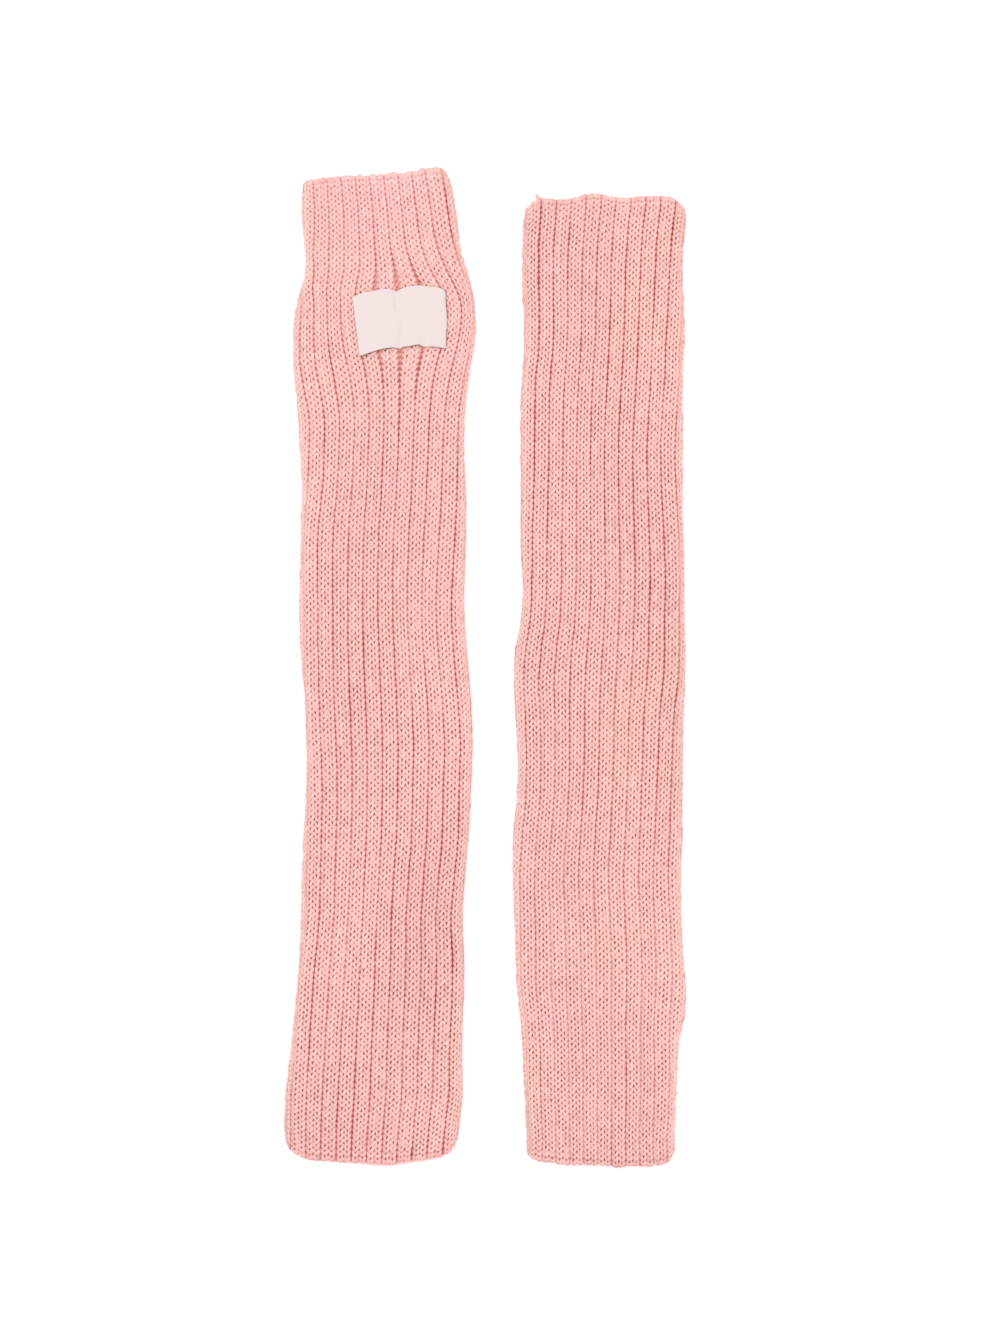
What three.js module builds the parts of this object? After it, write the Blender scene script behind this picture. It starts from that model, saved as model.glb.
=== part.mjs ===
import * as THREE from "three";

// A pair of rib-knit leg warmers laid flat, all sizes in millimetres.
// X runs across the pair, Y up the legs and Z up from the surface they lie on.
const ribsAround = 22; // raised ribs round one tube
const crestWall = 3.6; // wall from the inside to a rib's crest
const grooveDepth = 1.7; // how far the purl groove sinks between two ribs
const layerGap = 0.8; // air between the two layers of a flattened tube
const foldRadius = crestWall + layerGap / 2; // outside radius of the two side folds
const puffHeight = 1.1; // the most that the upper layer lifts off the lower one
const puffLength = 150; // from one soft swelling to the next along the leg
const endFade = 80; // how far in from an end its slant is felt
const endFadePower = 1.5;
const edgeStep = 2.5; // the knitted edge rounds over in this length
const edgeRound = 0.9; // and by this much in height
const labelPull = 14.4; // spread of the ribs where the label holds them apart
const labelLift = 0.6; // extra swelling under the label
const labelRib = 1; // the groove at the middle of the label
const labelGap = 0.3; // the label clears the crests by this
const labelThick = 1; // label cloth with its folded back
const labelCells = { along: 14, down: 9 };
const knitColor = "#efb6b0";
const labelColor = "#f5e4e2";
const pairShift = -0.3; // brings the middle of the pair's length to Y = 0

// One rib round the tube: where its points lie in one rib width, and their height as a share.
const ribProfile = [
  { place: 0, height: 0 },
  { place: 0.18, height: 0.86 },
  { place: 0.5, height: 1 },
  { place: 0.82, height: 0.86 },
];
const raisedRibs = { first: -7, last: 8 }; // these ribs can show above or at a fold

// A row for each section: the flat outline, a groove near the middle, the rib width and the label's spread.
const leftSections = [
  { y: -332.2, left: -64.7, right: 51.4, groove: -9.7, pitch: 10, spread: 0 },
  { y: -320.2, left: -64.7, right: 51.4, groove: -9.5, pitch: 10.1, spread: 0 },
  { y: -304.8, left: -64.7, right: 52.4, groove: -8.7, pitch: 10.25, spread: 0 },
  { y: -284.8, left: -63.7, right: 54.4, groove: -7.4, pitch: 10.5, spread: 0 },
  { y: -258.1, left: -60.7, right: 54.0, groove: -6.5, pitch: 10.4, spread: 0 },
  { y: -228.1, left: -57.7, right: 54.7, groove: -5.2, pitch: 10.35, spread: 0 },
  { y: -198.1, left: -55.0, right: 55.4, groove: -3.8, pitch: 10.2, spread: 0 },
  { y: -168.1, left: -53.4, right: 54.4, groove: -2.6, pitch: 9.75, spread: 0 },
  { y: -141.4, left: -53.0, right: 55.7, groove: -1.1, pitch: 9.85, spread: 0 },
  { y: -111.4, left: -51.7, right: 58.4, groove: 0.6, pitch: 10.05, spread: 0 },
  { y: -81.4, left: -50.0, right: 60.0, groove: 1.2, pitch: 10.05, spread: 0 },
  { y: -51.4, left: -50.0, right: 61.0, groove: 1.1, pitch: 10.25, spread: 0 },
  { y: -21.3, left: -51.0, right: 60.0, groove: -0.15, pitch: 10.2, spread: 0 },
  { y: 8.7, left: -53.7, right: 57.7, groove: -1.6, pitch: 10, spread: 0 },
  { y: 38.7, left: -54.7, right: 55.4, groove: -2.4, pitch: 9.85, spread: 0 },
  { y: 68.7, left: -54.0, right: 56.0, groove: -2.1, pitch: 10.05, spread: 0 },
  { y: 95.4, left: -53.7, right: 56.7, groove: -1.1, pitch: 10.15, spread: 0 },
  { y: 118.7, left: -52.7, right: 56.7, groove: 0.6, pitch: 10, spread: 0 },
  { y: 138.7, left: -54.0, right: 55.4, groove: 1.4, pitch: 9.95, spread: 0 },
  { y: 158.7, left: -55.0, right: 55.5, groove: 2.1, pitch: 9.95, spread: 0 },
  { y: 174.8, left: -56.0, right: 56.7, groove: 2.15, pitch: 10.2, spread: 0.1 },
  { y: 189.4, left: -57.4, right: 58.0, groove: 1.9, pitch: 10.6, spread: 0.9 },
  { y: 202.8, left: -58.7, right: 60.0, groove: 2.2, pitch: 10.4, spread: 4.2 },
  { y: 214.8, left: -58.8, right: 62.4, groove: 3.3, pitch: 9.6, spread: 9.4 },
  { y: 228.1, left: -58.7, right: 63.0, groove: 4.3, pitch: 9, spread: 13.2 },
  { y: 241.5, left: -56.7, right: 62.7, groove: 4.5, pitch: 8.7, spread: 14.4 },
  { y: 253.5, left: -53.4, right: 60.7, groove: 2.2, pitch: 9.2, spread: 10.9 },
  { y: 265.5, left: -50.4, right: 57.4, groove: -0.6, pitch: 9.9, spread: 4.5 },
  { y: 277.5, left: -51.0, right: 53.7, groove: -3.2, pitch: 10.25, spread: 0.8 },
  { y: 290.8, left: -52.0, right: 51.7, groove: -4.5, pitch: 9.95, spread: 0.1 },
  { y: 304.2, left: -52.7, right: 50.0, groove: -5.3, pitch: 9.7, spread: 0 },
  { y: 317.5, left: -52.4, right: 48.0, groove: -6.6, pitch: 9.6, spread: 0 },
  { y: 326.8, left: -51.7, right: 45.4, groove: -7.5, pitch: 9.45, spread: 0 },
  { y: 333.5, left: -51.7, right: 43.4, groove: -8.3, pitch: 9.4, spread: 0 },
];
const rightSections = [
  { y: -332.8, left: -50.4, right: 48.4, groove: -12.4, pitch: 9.25, spread: 0 },
  { y: -324.8, left: -50.4, right: 48.4, groove: -12.4, pitch: 9.25, spread: 0 },
  { y: -314.8, left: -50.4, right: 48.4, groove: -12.4, pitch: 9.2, spread: 0 },
  { y: -294.8, left: -51.0, right: 48.7, groove: -12.6, pitch: 9.4, spread: 0 },
  { y: -271.5, left: -52.6, right: 50.0, groove: -12.75, pitch: 9.57, spread: 0 },
  { y: -248.1, left: -53.4, right: 51.4, groove: -13.1, pitch: 9.58, spread: 0 },
  { y: -229.4, left: -55.4, right: 55.4, groove: -13.7, pitch: 9.8, spread: 0 },
  { y: -214.8, left: -56.7, right: 55.9, groove: -14.1, pitch: 10.05, spread: 0 },
  { y: -194.8, left: -58.0, right: 54.0, groove: -14.3, pitch: 10.1, spread: 0 },
  { y: -168.1, left: -58.7, right: 52.7, groove: -14.9, pitch: 9.98, spread: 0 },
  { y: -138.1, left: -59.7, right: 52.4, groove: -15.7, pitch: 9.9, spread: 0 },
  { y: -111.4, left: -59.4, right: 53.4, groove: -14.3, pitch: 9.83, spread: 0 },
  { y: -84.7, left: -56.7, right: 53.4, groove: -12.7, pitch: 9.68, spread: 0 },
  { y: -58.0, left: -56.4, right: 53.7, groove: -12, pitch: 9.76, spread: 0 },
  { y: -31.3, left: -58.0, right: 54.4, groove: -11.9, pitch: 9.93, spread: 0 },
  { y: -8.0, left: -59.0, right: 55.4, groove: -11.5, pitch: 10.3, spread: 0 },
  { y: 12.0, left: -58.0, right: 55.7, groove: -10.2, pitch: 10.22, spread: 0 },
  { y: 32.0, left: -54.4, right: 55.0, groove: -8.6, pitch: 9.9, spread: 0 },
  { y: 55.4, left: -53.0, right: 55.0, groove: -7.65, pitch: 9.86, spread: 0 },
  { y: 82.0, left: -54.4, right: 54.4, groove: -7.75, pitch: 9.8, spread: 0 },
  { y: 112.1, left: -54.5, right: 53.7, groove: -7.95, pitch: 9.58, spread: 0 },
  { y: 142.1, left: -54.7, right: 53.7, groove: -7.95, pitch: 9.4, spread: 0 },
  { y: 168.8, left: -54.7, right: 53.7, groove: -7.4, pitch: 9.5, spread: 0 },
  { y: 192.1, left: -54.0, right: 53.7, groove: -6.3, pitch: 9.6, spread: 0 },
  { y: 212.1, left: -52.5, right: 54.7, groove: -5, pitch: 9.45, spread: 0 },
  { y: 232.1, left: -52.4, right: 55.0, groove: -4.25, pitch: 9.52, spread: 0 },
  { y: 257.5, left: -53.7, right: 53.7, groove: -3.95, pitch: 9.73, spread: 0 },
  { y: 278.8, left: -53.2, right: 53.7, groove: -3.4, pitch: 9.84, spread: 0 },
  { y: 297.5, left: -53.0, right: 55.7, groove: -2.1, pitch: 9.9, spread: 0 },
  { y: 309.5, left: -50.7, right: 55.4, groove: -1, pitch: 10, spread: 0 },
  { y: 316.2, left: -50.4, right: 54.4, groove: -0.8, pitch: 9.9, spread: 0 },
];

// A row for each change of slant along an end: how far the upper and the lower layer stop short of it.
const leftLowEnd = [
  { across: 0, front: 26.7, back: 25.3 },
  { across: 0.017, front: 14.7, back: 13.3 },
  { across: 0.074, front: 8.0, back: 7.3 },
  { across: 0.137, front: 4.7, back: 4.0 },
  { across: 0.274, front: 3.3, back: 2.7 },
  { across: 0.411, front: 2.7, back: 1.3 },
  { across: 0.594, front: 2.0, back: 0 },
  { across: 0.777, front: 4.7, back: 2.7 },
  { across: 0.87, front: 6.7, back: 4.7 },
  { across: 0.92, front: 8.7, back: 6.7 },
  { across: 0.96, front: 11.3, back: 9.7 },
  { across: 0.985, front: 15.3, back: 14.3 },
  { across: 1, front: 23.3, back: 23.3 },
];
const leftHighEnd = [
  { across: 0, front: 9.7, back: 9.0 },
  { across: 0.031, front: 8.6, back: 8.0 },
  { across: 0.143, front: 6.7, back: 6.7 },
  { across: 0.366, front: 5.0, back: 5.3 },
  { across: 0.589, front: 4.3, back: 4.7 },
  { across: 0.756, front: 2.3, back: 2.7 },
  { across: 0.868, front: 0.7, back: 1.3 },
  { across: 0.93, front: 0, back: 0.7 },
  { across: 0.972, front: 0.7, back: 0.8 },
  { across: 1, front: 2.6, back: 2.2 },
];
const rightLowEnd = [
  { across: 0, front: 8.6, back: 8.2 },
  { across: 0.02, front: 6.2, back: 6.2 },
  { across: 0.088, front: 4.6, back: 4.9 },
  { across: 0.223, front: 2.7, back: 3.3 },
  { across: 0.412, front: 1.7, back: 2.0 },
  { across: 0.628, front: 0, back: 0.7 },
  { across: 0.831, front: 1.3, back: 1.3 },
  { across: 0.939, front: 2.4, back: 2.2 },
  { across: 0.986, front: 5.6, back: 5.2 },
  { across: 1, front: 10.4, back: 10.0 },
];
const rightHighEnd = [
  { across: 0, front: 8.7, back: 8.0 },
  { across: 0.041, front: 5.3, back: 5.3 },
  { across: 0.098, front: 3.0, back: 3.3 },
  { across: 0.186, front: 4.0, back: 3.3 },
  { across: 0.287, front: 3.3, back: 2.7 },
  { across: 0.388, front: 0.3, back: 0.7 },
  { across: 0.476, front: 0, back: 0.7 },
  { across: 0.539, front: 2.0, back: 1.3 },
  { across: 0.64, front: 2.7, back: 2.0 },
  { across: 0.741, front: 1.3, back: 1.3 },
  { across: 0.88, front: 1.6, back: 1.6 },
  { across: 0.943, front: 3.6, back: 3.3 },
  { across: 0.985, front: 7.3, back: 6.7 },
  { across: 1, front: 11.3, back: 11.3 },
];

// The label's four corners on the left tube, and how far its long edges bow towards the top.
const labelCorners = {
  topLeft: { x: -18.9, y: 247.1 },
  topRight: { x: 43.3, y: 251.4 },
  lowLeft: { x: -14.2, y: 207.2 },
  lowRight: { x: 43.6, y: 212.5 },
};
const labelBow = [
  { along: 0, bow: 0 },
  { along: 0.2, bow: 2.7 },
  { along: 0.35, bow: 3.5 },
  { along: 0.47, bow: 3.0 },
  { along: 0.7, bow: 4.4 },
  { along: 0.85, bow: 3.6 },
  { along: 1, bow: 0 },
];

const leftWarmer = {
  name: "leg_warmer_left",
  x: -69.4,
  sections: leftSections,
  lowEnd: leftLowEnd,
  highEnd: leftHighEnd,
  puffPhase: 0.15,
};
const rightWarmer = {
  name: "leg_warmer_right",
  x: 78.3,
  sections: rightSections,
  lowEnd: rightLowEnd,
  highEnd: rightHighEnd,
  puffPhase: 0.55,
};

// A smooth curve through one column of a table, with each slope taken from the two neighbouring rows.
function lookUp(rows, key, column, at) {
  const last = rows.length - 1;
  const clamped = Math.min(Math.max(at, rows[0][key]), rows[last][key]);
  let i = 0;
  while (i < last - 1 && rows[i + 1][key] < clamped) i += 1;
  const a = rows[i];
  const b = rows[i + 1];
  const span = b[key] - a[key];
  const slope = (row, before, after) =>
    row === before || row === after
      ? (b[column] - a[column]) / span
      : (after[column] - before[column]) / (after[key] - before[key]);
  const slopeA = slope(a, rows[Math.max(i - 1, 0)], b);
  const slopeB = slope(b, a, rows[Math.min(i + 2, last)]);
  const t = (clamped - a[key]) / span;
  const rise = b[column] - a[column];
  const bend = (slopeA * span - rise) * (1 - t) + (rise - slopeB * span) * t;
  return a[column] + rise * t + t * (1 - t) * bend;
}

// The flattened tube's section at one height along the leg.
function sectionAt(warmer, y) {
  const read = (column) => lookUp(warmer.sections, "y", column, y);
  const left = read("left");
  const right = read("right");
  const straight = (right - left) / 2 - foldRadius;
  return {
    left,
    right,
    straight,
    middle: (left + right) / 2,
    groove: read("groove"),
    pitch: read("pitch"),
    spread: read("spread"),
    round: 4 * straight + 2 * Math.PI * foldRadius,
  };
}

// How far round the section a rib coordinate lies, from the middle of the upper layer.
function arcOfRib(section, rib) {
  const upper = (at) =>
    section.groove - section.middle + section.pitch * at +
    section.spread * Math.tanh((at - labelRib) / 1.3);
  if (rib <= raisedRibs.last) return upper(rib);
  const start = upper(raisedRibs.last);
  const end = upper(raisedRibs.first) + section.round;
  const under = ribsAround - raisedRibs.last + raisedRibs.first;
  return start + ((end - start) * (rib - raisedRibs.last)) / under;
}

// The outer line of a section without its ribs: a point and its outward direction.
function outlinePoint(section, arc) {
  const { straight, middle, round } = section;
  const turned = arc - round * Math.round(arc / round);
  const side = turned < 0 ? -1 : 1;
  const along = Math.abs(turned);
  const turn = Math.min(Math.max((along - straight) / foldRadius, 0), Math.PI);
  const past = Math.max(along - straight - Math.PI * foldRadius, 0);
  const reach = Math.min(along, straight) - past;
  const outX = side * Math.sin(turn);
  const outZ = Math.cos(turn);
  return {
    x: middle + side * reach + foldRadius * outX,
    z: foldRadius + foldRadius * outZ,
    outX,
    outZ,
  };
}

// Soft swellings of the upper layer, none at the folds.
function puffAt(warmer, section, x, y) {
  const across = Math.min(Math.max((x - section.left) / (section.right - section.left), 0), 1);
  const wave = Math.sin((2 * Math.PI * y) / puffLength + 2 * Math.PI * warmer.puffPhase + x / 30);
  const held = (labelLift * section.spread) / labelPull;
  return Math.sqrt(4 * across * (1 - across)) * (puffHeight * (0.5 + 0.5 * wave) + held);
}

// How far a point moves along the leg because its end is slanted and its corners are rounded.
function endShift(warmer, y, across, frontShare) {
  const low = warmer.sections[0].y;
  const high = warmer.sections[warmer.sections.length - 1].y;
  const stopShort = (rows) =>
    frontShare * lookUp(rows, "across", "front", across) +
    (1 - frontShare) * lookUp(rows, "across", "back", across);
  const fade = (distance) => Math.max(1 - distance / endFade, 0) ** endFadePower;
  return fade(y - low) * stopShort(warmer.lowEnd) - fade(high - y) * stopShort(warmer.highEnd);
}

// A point of the wall: rib coordinate, height along the leg and depth in from the crests.
function wallPoint(warmer, y, rib, depth) {
  const flat = sectionAt(warmer, y);
  const first = outlinePoint(flat, arcOfRib(flat, rib));
  const across = (first.x - flat.left) / (flat.right - flat.left);
  const moved = y + endShift(warmer, y, across, (1 + first.outZ) / 2);
  const section = sectionAt(warmer, moved);
  const edge = outlinePoint(section, arcOfRib(section, rib));
  const puff = puffAt(warmer, section, edge.x, moved) * Math.max(edge.outZ, 0);
  const x = edge.x - depth * edge.outX;
  return new THREE.Vector3(x, moved, edge.z - depth * edge.outZ + puff);
}

// Rib coordinates round the tube: four points a rib where ribs are raised, two below.
function ringPlan() {
  const plan = [];
  for (let rib = raisedRibs.first; rib < raisedRibs.last; rib += 1)
    ribProfile.forEach(({ place, height }) => plan.push({ rib: rib + place, height }));
  for (let rib = raisedRibs.last; rib < ribsAround + raisedRibs.first; rib += 1)
    plan.push({ rib, height: 1 }, { rib: rib + 0.5, height: 1 });
  return plan;
}

// The ribs stand out above and at the folds, and the underside stays flat where it rests.
function outerPoint(warmer, y, { rib, height }, rounding) {
  const section = sectionAt(warmer, y);
  const { outZ } = outlinePoint(section, arcOfRib(section, rib));
  const raised = Math.min(Math.max(1 + outZ, 0), 1);
  const depth = grooveDepth * (1 - height) * raised;
  return wallPoint(warmer, y, rib, depth + rounding * Math.max(outZ, 0));
}

// A tube's wall from its outer rings, its plain inner rings and a rim at each open end.
function tubeGeometry(warmer) {
  const plan = ringPlan();
  const inner = plan.filter((_, i) => i % 2 === 0);
  const low = warmer.sections[0].y;
  const high = warmer.sections[warmer.sections.length - 1].y;
  const stations = warmer.sections
    .map((row) => row.y)
    .concat([low + edgeStep, high - edgeStep])
    .sort((a, b) => a - b);
  const points = stations.flatMap((y) => {
    const rounding = y === low || y === high ? edgeRound : 0;
    return plan
      .map((place) => outerPoint(warmer, y, place, rounding))
      .concat(inner.map(({ rib }) => wallPoint(warmer, y, rib, crestWall)));
  });
  const n = plan.length;
  const m = inner.length;
  const outerAt = (ring, i) => ring * (n + m) + (i % n);
  const innerAt = (ring, i) => ring * (n + m) + n + (i % m);
  const faces = [];
  for (let ring = 0; ring + 1 < stations.length; ring += 1) {
    for (let i = 0; i < n; i += 1)
      addQuad(faces, outerAt(ring, i), outerAt(ring, i + 1), outerAt(ring + 1, i + 1), outerAt(ring + 1, i));
    for (let i = 0; i < m; i += 1)
      addQuad(faces, innerAt(ring, i + 1), innerAt(ring, i), innerAt(ring + 1, i), innerAt(ring + 1, i + 1));
  }
  const top = stations.length - 1;
  for (let i = 0; i < m; i += 1) {
    addRim(faces, outerAt, innerAt, 0, i, false);
    addRim(faces, outerAt, innerAt, top, i, true);
  }
  return solidGeometry(points, faces);
}

function addQuad(faces, a, b, c, d) {
  faces.push(a, b, c, a, c, d);
}

// Two outer steps against one inner step of an end ring.
function addRim(faces, outerAt, innerAt, ring, i, isHigh) {
  const outer = [0, 1, 2].map((step) => outerAt(ring, 2 * i + step));
  const inside = [0, 1].map((step) => innerAt(ring, i + step));
  const rim = [
    [inside[0], outer[1], outer[0]],
    [inside[0], inside[1], outer[1]],
    [inside[1], outer[2], outer[1]],
  ];
  rim.forEach(([a, b, c]) => (isHigh ? faces.push(a, c, b) : faces.push(a, b, c)));
}

function solidGeometry(points, faces) {
  const geometry = new THREE.BufferGeometry().setFromPoints(points);
  geometry.setIndex(faces);
  geometry.computeVertexNormals();
  return geometry;
}

// The crest surface of the upper layer, which the label lies on.
function crestHeight(warmer, x, y) {
  const section = sectionAt(warmer, y);
  return 2 * foldRadius + puffAt(warmer, section, x, y);
}

// The label is a thin sheet from the panel's own crest points, moved out, with bowed long edges.
function labelGeometry(warmer) {
  const { along, down } = labelCells;
  const { topLeft, topRight, lowLeft, lowRight } = labelCorners;
  const mix = THREE.MathUtils.lerp;
  const sheetPoint = (i, j, lift) => {
    const s = i / along;
    const t = j / down;
    const x = mix(mix(topLeft.x, topRight.x, s), mix(lowLeft.x, lowRight.x, s), t);
    const bow = lookUp(labelBow, "along", "bow", s);
    const y = mix(mix(topLeft.y, topRight.y, s), mix(lowLeft.y, lowRight.y, s), t) + bow;
    return new THREE.Vector3(x, y, crestHeight(warmer, x, y) + labelGap + lift);
  };
  const points = [];
  [labelThick, 0].forEach((lift) => {
    for (let j = 0; j <= down; j += 1)
      for (let i = 0; i <= along; i += 1) points.push(sheetPoint(i, j, lift));
  });
  const sheet = (along + 1) * (down + 1);
  const at = (layer, i, j) => layer * sheet + j * (along + 1) + i;
  const faces = [];
  for (let j = 0; j < down; j += 1)
    for (let i = 0; i < along; i += 1) {
      addQuad(faces, at(0, i, j + 1), at(0, i + 1, j + 1), at(0, i + 1, j), at(0, i, j));
      addQuad(faces, at(1, i, j), at(1, i + 1, j), at(1, i + 1, j + 1), at(1, i, j + 1));
    }
  for (let i = 0; i < along; i += 1) {
    addQuad(faces, at(0, i, 0), at(0, i + 1, 0), at(1, i + 1, 0), at(1, i, 0));
    addQuad(faces, at(1, i, down), at(1, i + 1, down), at(0, i + 1, down), at(0, i, down));
  }
  for (let j = 0; j < down; j += 1) {
    addQuad(faces, at(1, 0, j), at(1, 0, j + 1), at(0, 0, j + 1), at(0, 0, j));
    addQuad(faces, at(0, along, j), at(0, along, j + 1), at(1, along, j + 1), at(1, along, j));
  }
  return solidGeometry(points, faces);
}

function namedMesh(name, geometry, color, roughness) {
  const material = new THREE.MeshStandardMaterial({ color, roughness, metalness: 0 });
  const mesh = new THREE.Mesh(geometry, material);
  mesh.name = name;
  return mesh;
}

const group = new THREE.Group();
group.position.y = pairShift;
[leftWarmer, rightWarmer].forEach((warmer) => {
  const mesh = namedMesh(warmer.name, tubeGeometry(warmer), knitColor, 0.95);
  mesh.position.x = warmer.x;
  group.add(mesh);
});
const label = namedMesh("label", labelGeometry(leftWarmer), labelColor, 0.6);
label.position.x = leftWarmer.x;
group.add(label);

export default group;
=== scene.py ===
import bpy
import numpy as np
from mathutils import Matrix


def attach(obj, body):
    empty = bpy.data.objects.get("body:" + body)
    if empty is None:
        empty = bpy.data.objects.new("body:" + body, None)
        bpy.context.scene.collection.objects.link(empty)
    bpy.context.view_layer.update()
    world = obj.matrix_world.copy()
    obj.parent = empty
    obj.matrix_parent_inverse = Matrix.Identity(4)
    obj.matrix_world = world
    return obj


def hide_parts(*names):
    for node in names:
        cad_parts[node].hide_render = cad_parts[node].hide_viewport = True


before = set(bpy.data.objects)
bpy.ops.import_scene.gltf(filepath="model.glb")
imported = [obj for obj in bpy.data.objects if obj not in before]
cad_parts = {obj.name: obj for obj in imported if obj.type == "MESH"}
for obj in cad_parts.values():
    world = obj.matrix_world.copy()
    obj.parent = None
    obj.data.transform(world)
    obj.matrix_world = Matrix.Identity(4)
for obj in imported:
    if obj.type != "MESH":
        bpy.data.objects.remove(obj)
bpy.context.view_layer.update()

mm = 0.001
fullTurn = 2 * np.pi

# The flattened tube, as the part's solids have it. Lengths in millimetres.
tube = {
    "ribs": 22,              # raised ribs all the way round
    "crestWall": 3.6,        # wall from the inside to a rib's crest
    "foldRadius": 4.0,       # outside radius of the side folds
    "puffHeight": 1.1,       # most that the upper layer lifts
    "puffLength": 150.0,     # from one swelling to the next
    "puffSlant": 30.0,       # width in which a swelling's wave turns by one radian
    "endFade": 80.0,         # how far in the slant of an end is felt
    "endFadePower": 1.5,     # and how fast it fades
    "labelLift": 0.6,        # extra swelling under the label
    "labelPull": 14.4,       # the label's full spread
    "labelRib": 1.0,         # the groove at the middle of the label
    "labelSoft": 1.3,        # ribs over which the spread turns over
    "nudgedRib": 5,          # the groove by the right fold
    "firstRib": -7, "lastRib": 8,   # between them the ribs keep the section's own width
    "pairShift": -0.3,       # along the legs, to centre the pair
}

# one row for each section: y, left, right, a groove's place, rib width, the label's spread
leftSections = np.array([
    (-332.2, -64.7, 51.4, -9.7, 10, 0), (-320.2, -64.7, 51.4, -9.5, 10.1, 0),
    (-304.8, -64.7, 52.4, -8.7, 10.25, 0), (-284.8, -63.7, 54.4, -7.4, 10.5, 0),
    (-258.1, -60.7, 54.0, -6.5, 10.4, 0), (-228.1, -57.7, 54.7, -5.2, 10.35, 0),
    (-198.1, -55.0, 55.4, -3.8, 10.2, 0), (-168.1, -53.4, 54.4, -2.6, 9.75, 0),
    (-141.4, -53.0, 55.7, -1.1, 9.85, 0), (-111.4, -51.7, 58.4, 0.6, 10.05, 0),
    (-81.4, -50.0, 60.0, 1.2, 10.05, 0), (-51.4, -50.0, 61.0, 1.1, 10.25, 0),
    (-21.3, -51.0, 60.0, -0.15, 10.2, 0), (8.7, -53.7, 57.7, -1.6, 10, 0),
    (38.7, -54.7, 55.4, -2.4, 9.85, 0), (68.7, -54.0, 56.0, -2.1, 10.05, 0),
    (95.4, -53.7, 56.7, -1.1, 10.15, 0), (118.7, -52.7, 56.7, 0.6, 10, 0),
    (138.7, -54.0, 55.4, 1.4, 9.95, 0), (158.7, -55.0, 55.5, 2.1, 9.95, 0),
    (174.8, -56.0, 56.7, 2.15, 10.2, 0.1), (189.4, -57.4, 58.0, 1.9, 10.6, 0.9),
    (202.8, -58.7, 60.0, 2.2, 10.4, 4.2), (214.8, -58.8, 62.4, 3.3, 9.6, 9.4),
    (228.1, -58.7, 63.0, 4.3, 9, 13.2), (241.5, -56.7, 62.7, 4.5, 8.7, 14.4),
    (253.5, -53.4, 60.7, 2.2, 9.2, 10.9), (265.5, -50.4, 57.4, -0.6, 9.9, 4.5),
    (277.5, -51.0, 53.7, -3.2, 10.25, 0.8), (290.8, -52.0, 51.7, -4.5, 9.95, 0.1),
    (304.2, -52.7, 50.0, -5.3, 9.7, 0), (317.5, -52.4, 48.0, -6.6, 9.6, 0),
    (326.8, -51.7, 45.4, -7.5, 9.45, 0), (333.5, -51.7, 43.4, -8.3, 9.4, 0),
])
rightSections = np.array([
    (-332.8, -50.4, 48.4, -12.4, 9.25, 0), (-324.8, -50.4, 48.4, -12.4, 9.25, 0),
    (-314.8, -50.4, 48.4, -12.4, 9.2, 0), (-294.8, -51.0, 48.7, -12.6, 9.4, 0),
    (-271.5, -52.6, 50.0, -12.75, 9.57, 0), (-248.1, -53.4, 51.4, -13.1, 9.58, 0),
    (-229.4, -55.4, 55.4, -13.7, 9.8, 0), (-214.8, -56.7, 55.9, -14.1, 10.05, 0),
    (-194.8, -58.0, 54.0, -14.3, 10.1, 0), (-168.1, -58.7, 52.7, -14.9, 9.98, 0),
    (-138.1, -59.7, 52.4, -15.7, 9.9, 0), (-111.4, -59.4, 53.4, -14.3, 9.83, 0),
    (-84.7, -56.7, 53.4, -12.7, 9.68, 0), (-58.0, -56.4, 53.7, -12, 9.76, 0),
    (-31.3, -58.0, 54.4, -11.9, 9.93, 0), (-8.0, -59.0, 55.4, -11.5, 10.3, 0),
    (12.0, -58.0, 55.7, -10.2, 10.22, 0), (32.0, -54.4, 55.0, -8.6, 9.9, 0),
    (55.4, -53.0, 55.0, -7.65, 9.86, 0), (82.0, -54.4, 54.4, -7.75, 9.8, 0),
    (112.1, -54.5, 53.7, -7.95, 9.58, 0), (142.1, -54.7, 53.7, -7.95, 9.4, 0),
    (168.8, -54.7, 53.7, -7.4, 9.5, 0), (192.1, -54.0, 53.7, -6.3, 9.6, 0),
    (212.1, -52.5, 54.7, -5, 9.45, 0), (232.1, -52.4, 55.0, -4.25, 9.52, 0),
    (257.5, -53.7, 53.7, -3.95, 9.73, 0), (278.8, -53.2, 53.7, -3.4, 9.84, 0),
    (297.5, -53.0, 55.7, -2.1, 9.9, 0), (309.5, -50.7, 55.4, -1, 10, 0),
    (316.2, -50.4, 54.4, -0.8, 9.9, 0),
])

# one row for each place across an end: share across, how far the upper layer stops short there, then
# the lower one
leftLowEnd = np.array([
    (0, 26.7, 25.3), (0.017, 14.7, 13.3), (0.074, 8.0, 7.3), (0.137, 4.7, 4.0), (0.274, 3.3, 2.7),
    (0.411, 2.7, 1.3), (0.594, 2.0, 0), (0.777, 4.7, 2.7), (0.87, 6.7, 4.7), (0.92, 8.7, 6.7),
    (0.96, 11.3, 9.7), (0.985, 15.3, 14.3), (1, 23.3, 23.3),
])
leftHighEnd = np.array([
    (0, 9.7, 9.0), (0.031, 8.6, 8.0), (0.143, 6.7, 6.7), (0.366, 5.0, 5.3), (0.589, 4.3, 4.7),
    (0.756, 2.3, 2.7), (0.868, 0.7, 1.3), (0.93, 0, 0.7), (0.972, 0.7, 0.8), (1, 2.6, 2.2),
])
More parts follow.
